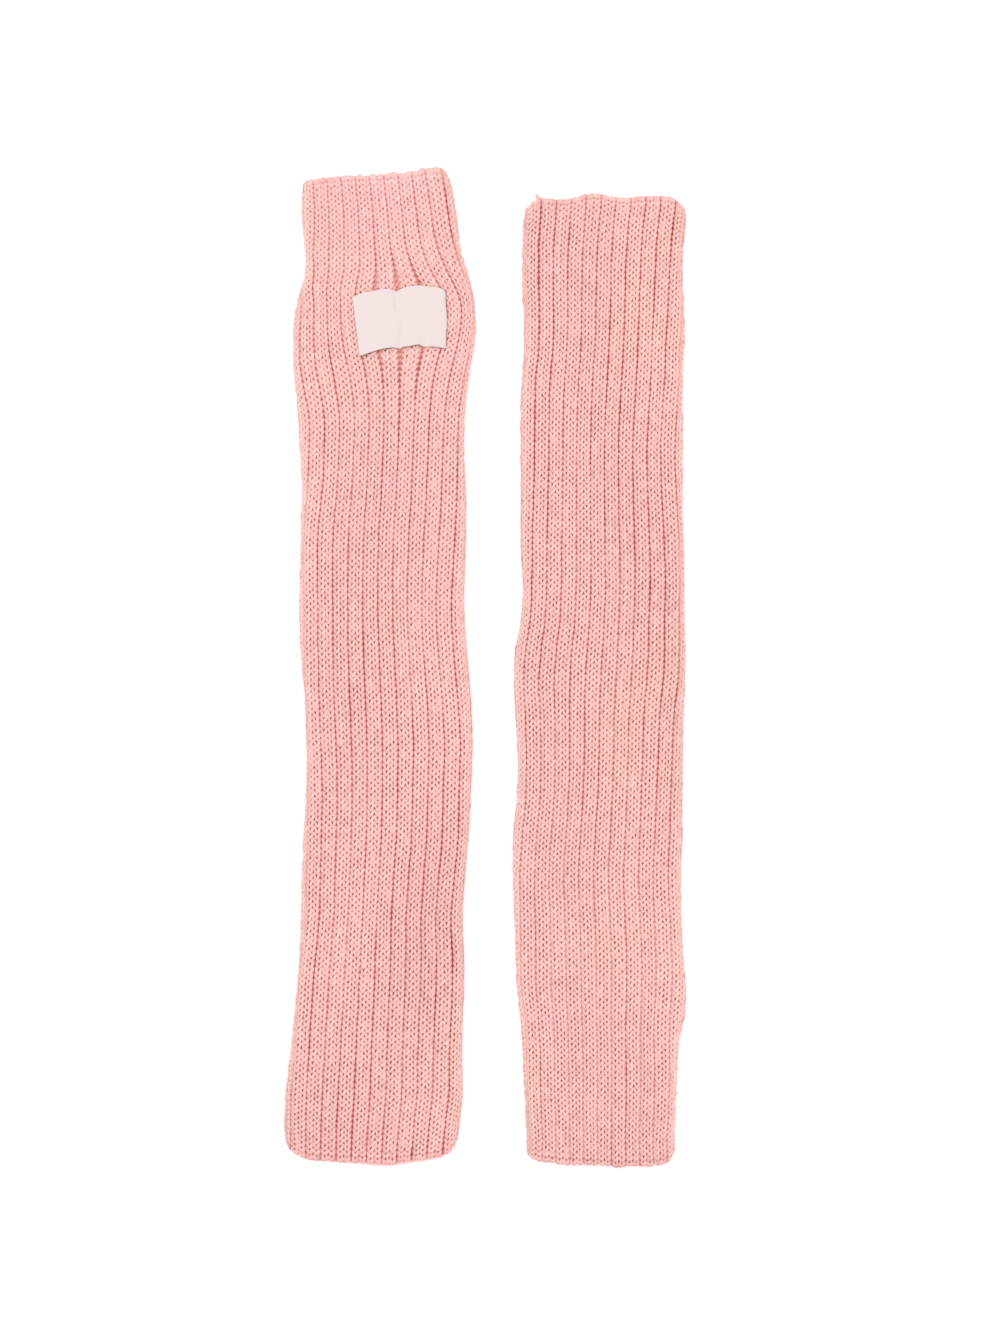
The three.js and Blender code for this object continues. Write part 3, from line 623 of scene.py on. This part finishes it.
    # the end row is drawn in and has rosy painted shade here and there between its loops
    marked = np.clip(0.4 + 0.6 * rng.normal(size=ribs * 4), 0, 1.1)[legNumber]
    groove = groove + knit["endShade"] * marked * np.exp(-fromEnd / 0.9) * (0.2 + legMeet)
    groove = groove + knit["blush"] * np.exp(-r / 1.2) * (0.7 + 0.5 * beaded)
    groove = groove * np.where(inside > 3.3, 0, np.where(fromEnd < 0.1, 0.5, 1))
    hollowShade = np.where(inside > 0, 0, hollowShade)
    tone = 0.5 + 0.25 * vary + 0.2 * softNoise(rowAt / 14, rib, seed + 2)
    # painted light: the turned-in rows are made brighter
    tone = np.where(inside > 0, knit["turnedInLight"], tone)
    # the yarn's way: four legs to a rib across, one row a unit along, and none across a groove
    acrossWay = rib * 4 + np.where(onBody, place * 4, 2.0 * part) + 0 * r
    return makePiece(name, points, gridFaces(len(r), len(columns)), pinkYarn,
                     np.stack([acrossWay, r + 0 * acrossWay], axis=-1),
                     {"hollowShade": hollowShade, "groove": groove, "tone": tone, "side": side})


# steps around and along, depth under the crests, how far its ends stop short, its shade values
ground = {
    "around": 88, "along": 60, "sink": 2.6, "short": 1.6,
    "hollowShade": 0.04, "groove": 0.12, "tone": 0.5,
}


def groundPiece(name, leg):
    # the closed tube under the stitches: an outer ring sunk to the ground, a plain inner ring, and rims;
    # its lines lie closer together towards the ends by half a cosine
    around, along, short = ground["around"], ground["along"], ground["short"]
    low, high = leg["sections"][0, 0], leg["sections"][-1, 0]
    t = np.linspace(0, 1, along)[:, None]
    y = low + short + (high - low - 2 * short) * (0.5 * t + 0.25 - 0.25 * np.cos(np.pi * t))
    turn = np.linspace(0, 1, around, endpoint=False)[None, :]
    outer, inner = (wallPoints(leg, y + 0 * turn, lambda s: s["round"] * turn, depth)
                    for depth in (ground["sink"], tube["crestWall"]))
    points = np.concatenate([outer.reshape(-1, 3), inner.reshape(-1, 3)])
    sheet = gridFaces(along, around, wrap=True)
    count = along * around
    i = np.arange(around)
    j = (i + 1) % around
    top = (along - 1) * around
    lowRim = np.stack([i, i + count, j + count, j], axis=-1)
    highRim = np.stack([top + i, top + j, top + j + count, top + i + count], axis=-1)
    faces = np.concatenate([sheet[:, ::-1], sheet + count, lowRim[:, ::-1], highRim[:, ::-1]])
    uv = np.stack([turn * tube["ribs"] * 4 + 0 * y, leg["rows"] * (y - low) / (high - low) + 0 * turn],
                  axis=-1)
    values = {key: np.full(2 * count, ground[key]) for key in ("hollowShade", "groove", "tone")}
    piece = makePiece(name, points, faces, pinkYarn, np.concatenate([uv.reshape(-1, 2)] * 2),
                      {**values, "side": np.zeros(2 * count)})
    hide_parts(leg["node"])
    return piece


fuzz = {
    "count": 3800, "length": (0.7, 2.4), "radius": 0.06,
    "lean": 0.9,             # how far a fibre tips over for its length
    "atFolds": 0.5, "pastFold": 7,     # share of them near the folds, and how far round
    "clear": 0.0003,         # they keep this far above the floor, in metres
    "tone": 0.7,
}


def fuzzPiece(name, leg):
    # loose fibres as closed three-sided spikes with one bend: foot + length (out + lean), where out is
    # the wall's normal
    rng = np.random.default_rng(leg["seed"] + 40)
    count = fuzz["count"]
    low, high = leg["sections"][0, 0], leg["sections"][-1, 0]
    y = rng.uniform(low + 1, high - 1, count)
    # half of them near the two folds, where they show against the floor
    straight = sectionAt(leg, y)["straight"]
    atFold = rng.choice((-1, 1), count) * (straight + rng.uniform(0, fuzz["pastFold"], count))
    arc = np.where(rng.random(count) < fuzz["atFolds"], atFold, rng.uniform(-1, 1, count) * straight)
    foot, above = (wallPoints(leg, y, lambda s: arc, depth) for depth in (0.5, -0.5))
    out = (above - foot) / mm
    lean = rng.normal(size=(count, 3)) * fuzz["lean"]
    size = rng.uniform(*fuzz["length"], count)[:, None] * mm
    middle = foot + 0.5 * size * (out + 0.4 * lean)
    tip = foot + size * (0.8 * out + lean * 0.8)
    for end in (tip, middle):
        end[:, 2] = np.maximum(end[:, 2], fuzz["clear"])
    sideways = np.cross(out, rng.normal(size=(count, 3)))
    sideways /= np.linalg.norm(sideways, axis=1, keepdims=True)
    upright = np.cross(out, sideways)
    ring = []
    for center, radius in ((foot, 1.0), (middle, 0.8)):
        for turn in np.arange(3) * fullTurn / 3:
            spoke = np.cos(turn) * sideways + np.sin(turn) * upright
            ring.append(center + fuzz["radius"] * mm * radius * spoke)
    points = np.stack([*ring, tip], axis=1)
    one = np.array([(0, 2, 1), (0, 1, 4), (0, 4, 3), (1, 2, 5), (1, 5, 4), (2, 0, 3), (2, 3, 5),
                    (3, 4, 6), (4, 5, 6), (5, 3, 6)])
    faces = (one[None] + 7 * np.arange(count)[:, None, None]).reshape(-1, 3)
    flat = np.zeros(count * 7)
    return makePiece(name, points, faces, pinkYarn, np.zeros((count * 7, 2)),
                     {"hollowShade": flat, "groove": flat, "tone": flat + fuzz["tone"], "side": flat})


for which, leg in legs.items():
    grounded = groundPiece(which + "KnitGround", leg)
    first, split, last = knit["fineRibs"]
    stitched = [knitPiece(which + "UpperKnitA", leg, first, split, knit["fineSteps"]),
                knitPiece(which + "UpperKnitB", leg, split, last, knit["fineSteps"]),
                knitPiece(which + "UnderKnit", leg, *knit["wideRibs"], knit["wideSteps"]),
                fuzzPiece(which + "Fuzz", leg)]
    # the tube's length, and its girth all round at its mean width
    length = leg["sections"][-1, 0] - leg["sections"][0, 0]
    girth = float(np.mean(leg["sections"][:, 2] - leg["sections"][:, 1])) * 2
    length * mm
    print(which, "leg warmer knitted")

# Label: a thin satin ribbon laid over the ribs

label = {
    "corners": {"topLeft": (-18.9, 247.1), "topRight": (43.3, 251.4), "lowLeft": (-14.2, 207.2),
                "lowRight": (43.6, 212.5)},
    # share across, how far the top and the low edge bow up from the straight line
    "topBow": np.array([(0, 0), (0.097, 2.2), (0.216, 3.1), (0.335, 4.0), (0.43, 3.0), (0.478, 1.8),
                        (0.514, 3.0), (0.585, 4.3), (0.728, 4.5), (0.824, 3.4), (0.931, 2.1),
                        (0.973, 0.8), (1, -1.0)]),
    "lowBow": np.array([(0, 0), (0.15, 2.2), (0.273, 3.5), (0.427, 3.8), (0.46, 3.3), (0.497, 3.5),
                        (0.6, 3.7), (0.683, 4.2), (0.728, 3.1), (0.805, 2.5), (0.933, 0.9), (1, 0)]),
    # creases: share across at the top and at the low edge, from and to share down, depth
    "creases": [(0.44, 0.43, -0.1, 0.42, 0.5), (0.56, 0.44, 0.5, 1.1, 0.4), (0.66, 0.70, 0.78, 1.1, 0.3),
                (0.983, 0.983, -0.2, 1.2, 0.12)],
    "creaseWidth": 0.014,
    # painted shadow line under the low edge by share across, and at the right edge by share down
    "lowShadowLine": np.array([(0, 1), (0.40, 1), (0.415, 0), (0.485, 0), (0.50, 1), (0.71, 1), (0.73, 0),
                         (0.80, 0.2), (0.83, 0.9), (1, 0.8)]),
    "rightShadowLine": np.array([(0, 0.4), (0.08, 0.7), (0.25, 0.7), (0.32, 0), (0.62, 0), (0.68, 0.7),
                           (0.85, 0.7), (1, 0.3)]),
    "shadowLineWidth": 0.5,
    "size": (60, 40),        # millimetres
    "steps": (60, 38),       # grid steps inside its hem
    "hem": (0, 0.003, 0.007, 0.012),   # shares across of the lines that round its edge
    "thick": 0.5, "above": 0.45,       # ribbon, and its height above the crests
    "billow": (0.25, 0.5), "rightBow": 0.5, "edgeLift": 0.18,
    # color and shade: the satin's two tones, mixed by its cloud and weave and by painted shade in the
    # creases; line: the painted shadow colour for the edges
    "color": (0.63, 0.540, 0.525), "shade": (0.585, 0.483, 0.478), "line": (0.16, 0.06, 0.04),
    "cloud": (60.0, 2.0), "weft": 3.2, "warp": 2.6,    # noise scale and detail, threads to a millimetre
    "bumpStrength": 0.6, "bumpHeight": 0.00008,
    "finish": {"Roughness": 0.55, "Sheen Weight": 0.2, "Sheen Roughness": 0.3,
               "Sheen Tint": (1, 0.97, 0.95, 1), "Specular IOR Level": 0.4},
    # small sewing stitches: share across, share down
    "stitches": [(0.80, 0.035), (0.845, 0.03), (0.225, 0.955), (0.79, 0.93), (0.815, 0.95), (0.71, 0.93),
                 (0.03, 0.03)],
    "threadRadii": (0.14, 0.26, 0.14), "threadReach": (0.45, 0.3), "threadAbove": 0.06,
    "threadFinish": {"Base Color": (0.85, 0.78, 0.76, 1), "Roughness": 0.6, "Sheen Weight": 0.0,
                     "Sheen Roughness": 0.3, "Sheen Tint": (1, 1, 1, 1), "Specular IOR Level": 0.3},
}


def labelMaterial():
    # satin: cloud and weave in the colour, painted shade in the creases and painted shadow along the
    # edges
    material, tree, shader = newMaterial("labelSatin", label["finish"])
    across, down = yarnWay(tree)
    crease, line = attribute(tree, "crease"), attribute(tree, "line")
    cloud = noise(tree, objectPlace(tree), *label["cloud"])
    weft = (down * fullTurn * label["weft"]).sin() * 0.5 + 0.5
    warp = (across * fullTurn * label["warp"]).sin() * 0.5 + 0.5
    shaded = (cloud * 0.5 + weft * 0.12 + crease * 1.2).clamp()
    cloth = mixColor(tree, shaded, label["color"], label["shade"])
    feed(tree, mixColor(tree, line.clamp(), cloth, label["line"]), shader.inputs["Base Color"])
    woven = bump(tree, weft * 0.7 + warp * 0.3, label["bumpStrength"], label["bumpHeight"])
    feed(tree, woven, shader.inputs["Normal"])
    return material


def creaseAt(s, t):
    # each crease is a narrow trough exp(-(distance/width)^2) that fades in and out along its way
    total = 0 * s
    for high, low, start, end, depth in label["creases"]:
        away = s - (high + (low - high) * t)
        along = np.clip((t - start) * 8, 0, 1) * np.clip((end - t) * 8, 0, 1)
        total = total + depth * along * np.exp(-(away / label["creaseWidth"]) ** 2)
    return total


def labelSurface(s, t, lift):
    # between the four corners with bowed long edges, on the crests of the panel under it; in metres
    spot = {key: np.array(value) for key, value in label["corners"].items()}
    top = spot["topLeft"] + s[..., None] * (spot["topRight"] - spot["topLeft"])
    low = spot["lowLeft"] + s[..., None] * (spot["lowRight"] - spot["lowLeft"])
    flat = top + t[..., None] * (low - top)
    x = flat[..., 0] + label["rightBow"] * s ** 8 * np.sin(np.pi * t)
    y = flat[..., 1] + (1 - t) * readRows(label["topBow"], 1, s) + t * readRows(label["lowBow"], 1, s)
    leg = legs["left"]
    section = sectionAt(leg, y)
    crest = 2 * tube["foldRadius"] + puffAt(leg, section, x, y)
    wave, belly = label["billow"]
    billow = wave * np.sin(np.pi * s * 3.3 + 0.4) + belly * t ** 3 * np.sin(np.pi * s)
    edge = label["edgeLift"] * (np.exp(-(s / 0.02) ** 2) + np.exp(-((1 - s) / 0.02) ** 2))
    z = crest + label["above"] - creaseAt(s, t) + np.maximum(billow, 0) + edge + lift
    return np.stack([x + leg["place"], y + tube["pairShift"], z], axis=-1) * mm


def labelPiece():
    # the surface twice, half the ribbon's thickness up and down, drawn together round the rim
    wide, tall = label["size"]
    hem = np.array(label["hem"])
    acrossSteps, downSteps = label["steps"]
    acrossLine = np.concatenate([hem, np.linspace(0.02, 0.98, acrossSteps), 1 - hem[::-1]])
    downLine = np.concatenate([hem * 1.4, np.linspace(0.03, 0.97, downSteps), 1 - 1.4 * hem[::-1]])
    s, t = np.meshgrid(acrossLine, downLine)
    rim = np.minimum(np.minimum(s, 1 - s) * wide, np.minimum(t, 1 - t) * tall)
    half = label["thick"] / 2
    soft = np.sqrt(np.clip(1 - (1 - np.clip(rim / 0.3, 0, 1)) ** 2, 0, 1)) * half
    top, under = labelSurface(s, t, half + soft), labelSurface(s, t, half - soft)
    count, rows, columns = s.size, len(downLine), len(acrossLine)
    sheet = gridFaces(rows, columns)
    edge = np.concatenate([np.arange(columns - 1), np.arange(rows - 1) * columns + columns - 1,
                           (rows - 1) * columns + np.arange(columns - 1, 0, -1),
                           np.arange(rows - 1, 0, -1) * columns])
    after = np.roll(edge, -1)
    rimFaces = np.stack([edge, after, after + count, edge + count], axis=-1)
    faces = np.concatenate([sheet[:, ::-1], sheet + count, rimFaces])
    # line: painted shadow under the low edge and beside the right edge
    line = (readRows(label["lowShadowLine"], 1, s) * np.exp(-((1 - t) * tall / label["shadowLineWidth"]) ** 2)
            + readRows(label["rightShadowLine"], 1, t) * np.exp(-((1 - s) * wide / label["shadowLineWidth"]) ** 2))
    uv = np.stack([s * wide, t * tall], axis=-1).reshape(-1, 2)
    # crease: painted shade along the creases, as deep as they are
    values = {"line": np.tile(line.ravel(), 2), "crease": np.tile(creaseAt(s, t).ravel(), 2)}
    piece = makePiece("labelRibbon", np.concatenate([top.reshape(-1, 3), under.reshape(-1, 3)]), faces,
                      labelMaterial(), np.concatenate([uv, uv]), values)
    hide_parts("label")
    return piece


def strandPiece(name, path, radii, material, sides=8):
    # a tapered strand: rings of radius radii[i] round path[i], square to the way, closed by a point at
    # each end
    path, radii = np.asarray(path, float), np.asarray(radii, float)
    way = np.gradient(path, axis=0)
    way /= np.linalg.norm(way, axis=1, keepdims=True)
    sideways = np.cross(way, (0.0, 0.0, 1.0))
    sideways /= np.linalg.norm(sideways, axis=1, keepdims=True)
    upright = np.cross(sideways, way)
    turn = (np.arange(sides) * fullTurn / sides)[None, :, None]
    spokes = np.cos(turn) * sideways[:, None] + np.sin(turn) * upright[:, None]
    rings = path[:, None] + radii[:, None, None] * spokes
    count = len(path) * sides
    points = np.concatenate([rings.reshape(-1, 3), path[:1], path[-1:]])
    quads = gridFaces(len(path), sides, wrap=True)
    i = np.arange(sides)
    j = (i + 1) % sides
    first = np.stack([j, i, i * 0 + count], axis=-1)
    last = np.stack([i + count - sides, j + count - sides, i * 0 + count + 1], axis=-1)
    faces = np.concatenate([quads[:, [0, 1, 2]], quads[:, [0, 2, 3]], first, last])
    along = np.append(np.repeat(np.linspace(0, 3, len(path)), sides), (0, 3))
    around = np.append(np.tile(i / sides, len(path)), (0, 0))
    flat = np.zeros(count + 2)
    return makePiece(name, points * mm, faces, material, np.stack([along, around], axis=-1),
                     {"hollowShade": flat, "groove": flat + 0.1, "tone": flat + 0.7, "side": flat + 0.2,
                      "line": flat, "crease": flat})


def labelStitches():
    # short raised threads, each turned a little further than the last
    thread = newMaterial("sewingThread", label["threadFinish"])[0]
    reachX, reachY = label["threadReach"]
    for number, (s, t) in enumerate(label["stitches"]):
        above = label["thick"] + label["threadAbove"]
        middle = labelSurface(np.array([s]), np.array([t]), above)[0] / mm
        reach = np.array([reachX * np.cos(number * 1.9), reachY * np.sin(number * 1.9), 0.0])
        strandPiece("labelStitch%d" % number, [middle - reach, middle, middle + reach],
                    label["threadRadii"], thread, 6)


labelPiece()
labelStitches()
print("label laid")

# A yarn end that stands out of the right leg warmer's upper end: two strands that meet at the tip

yarnTail = {
    "long": [(41.5, 310.0, 5.6), (38.0, 312.4, 6.4), (35.4, 314.4, 6.0), (33.9, 316.0, 5.4)],
    "short": [(35.2, 309.0, 5.8), (35.0, 311.8, 6.3), (34.4, 314.2, 6.0), (33.8, 315.6, 5.5)],
    "radii": (1.0, 0.3), "steps": 14,
}


def smoothPath(corners, steps):
    # the corners joined by a smooth curve through each coordinate
    corners = np.asarray(corners, float)
    keys = np.linspace(0, 1, len(corners))
    at = np.linspace(0, 1, steps)
    rows = np.column_stack([keys, corners])
    return np.stack([readRows(rows, column, at) for column in (1, 2, 3)], axis=-1)


for key in ("long", "short"):
    strandPiece("rightYarnTail" + key.capitalize(), smoothPath(yarnTail[key], yarnTail["steps"]),
                np.linspace(*yarnTail["radii"], yarnTail["steps"]), pinkYarn)
print("yarn end drawn out")

# Floor, light and camera

stage = {
    "floorSize": 6, "floorBelow": 0.0003,
    "floorFinish": {"Base Color": (0.95, 0.95, 0.95, 1), "Roughness": 0.9, "Sheen Weight": 0.0,
                    "Sheen Roughness": 0.5, "Sheen Tint": (1, 1, 1, 1), "Specular IOR Level": 0.3},
    "world": 1.15,
    # place, size, power
    "lights": {"keyPanel": ((-0.4, 0.5, 1.6), 1.3, 9.0), "fillPanel": ((0.9, -0.5, 1.6), 1.2, 4.0)},
    "lens": 85.0, "eye": (0.010, 0.0004, 2.107),
}


def makeStage():
    bpy.ops.mesh.primitive_plane_add(size=stage["floorSize"], location=(0, 0, -stage["floorBelow"]))
    floor = bpy.context.object
    floor.name = "paleFloor"
    floor.data.materials.append(newMaterial("palePaper", stage["floorFinish"])[0])
    world = bpy.data.worlds.new("softRoom")
    world.use_nodes = True
    background = world.node_tree.nodes["Background"]
    background.inputs["Color"].default_value = (1, 1, 1, 1)
    background.inputs["Strength"].default_value = stage["world"]
    bpy.context.scene.world = world
    for name, (place, size, power) in stage["lights"].items():
        light = bpy.data.lights.new(name, "AREA")
        light.energy, light.size = power, size
        lamp = bpy.data.objects.new(name, light)
        lamp.location = place
        # turned to face the origin
        x, y, z = -np.array(place)
        lamp.rotation_euler = (np.arctan2(np.hypot(x, y), -z), 0, np.arctan2(x, -y) + np.pi)
        bpy.context.collection.objects.link(lamp)
    camera = bpy.data.cameras.new("overhead")
    camera.lens = stage["lens"]
    eye = bpy.data.objects.new("overhead", camera)
    eye.location = stage["eye"]
    bpy.context.collection.objects.link(eye)
    bpy.context.scene.camera = eye
    bpy.context.scene.view_settings.view_transform = "Standard"


makeStage()
print("stage set")
